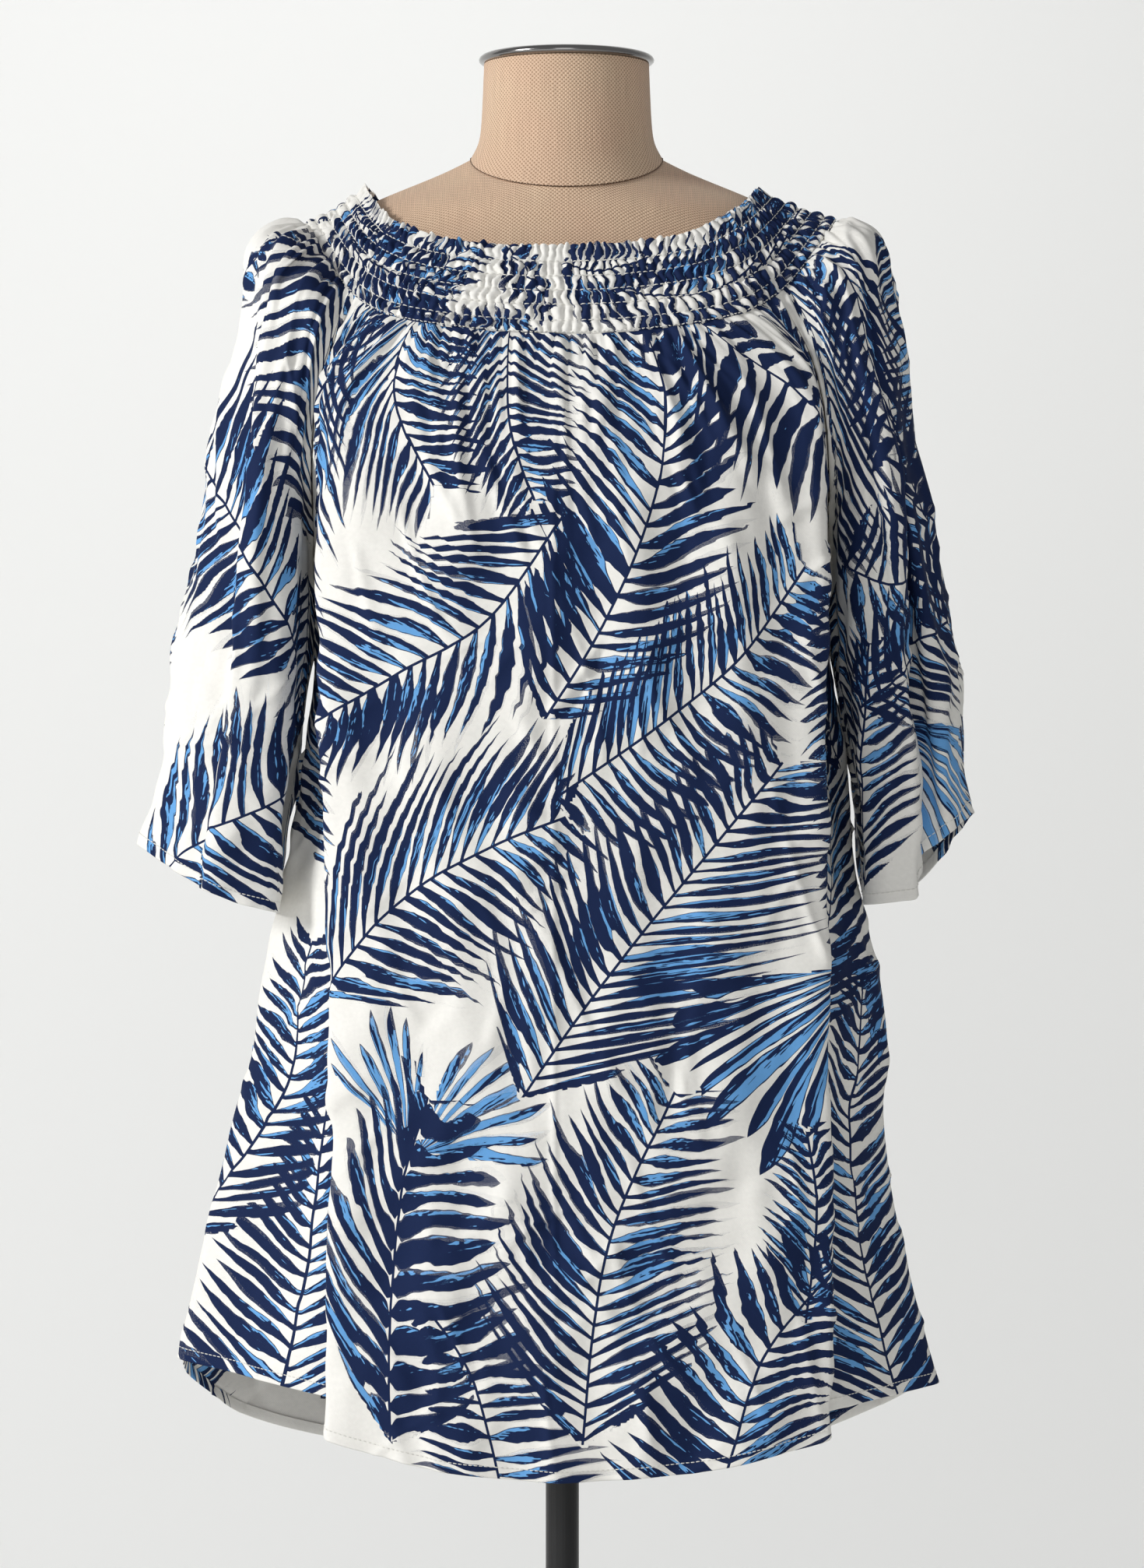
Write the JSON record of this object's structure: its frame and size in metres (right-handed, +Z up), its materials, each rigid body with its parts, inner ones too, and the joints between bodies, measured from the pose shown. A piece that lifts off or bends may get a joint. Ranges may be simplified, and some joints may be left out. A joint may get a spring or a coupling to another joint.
{
  "type": "smocked boat-neck tunic on a limbless dress form with a round stand",
  "caption": "A-line woven tunic with a smocked boat-neck yoke and three-quarter raglan sleeves, worn by a linen dress form on a pole and round base.",
  "frame": {"origin": "centre of the stand's base on the floor, on the pole's axis", "axes": "+X to the right as seen from the front, front towards -Y, +Z up along the pole"},
  "size_m": [0.5497, 0.39, 1.5433],
  "materials": {
    "tunic_cloth": "crisp woven viscose, off-white with a navy and light blue leaf print",
    "form_linen": "tan linen, matt",
    "cap_steel": "polished",
    "stand_black": "satin black"
  },
  "bodies": {
    "root": {"yoke_front": "tunic_cloth", "yoke_shoulder_left": "tunic_cloth", "yoke_shoulder_right": "tunic_cloth", "yoke_back": "tunic_cloth", "front_panel": "tunic_cloth", "back_panel": "tunic_cloth", "sleeve_left": "tunic_cloth", "sleeve_right": "tunic_cloth", "form_torso": "form_linen", "form_neck": "form_linen", "neck_cap": "cap_steel", "pole": "stand_black", "base": "stand_black"}
  },
  "joints": []
}
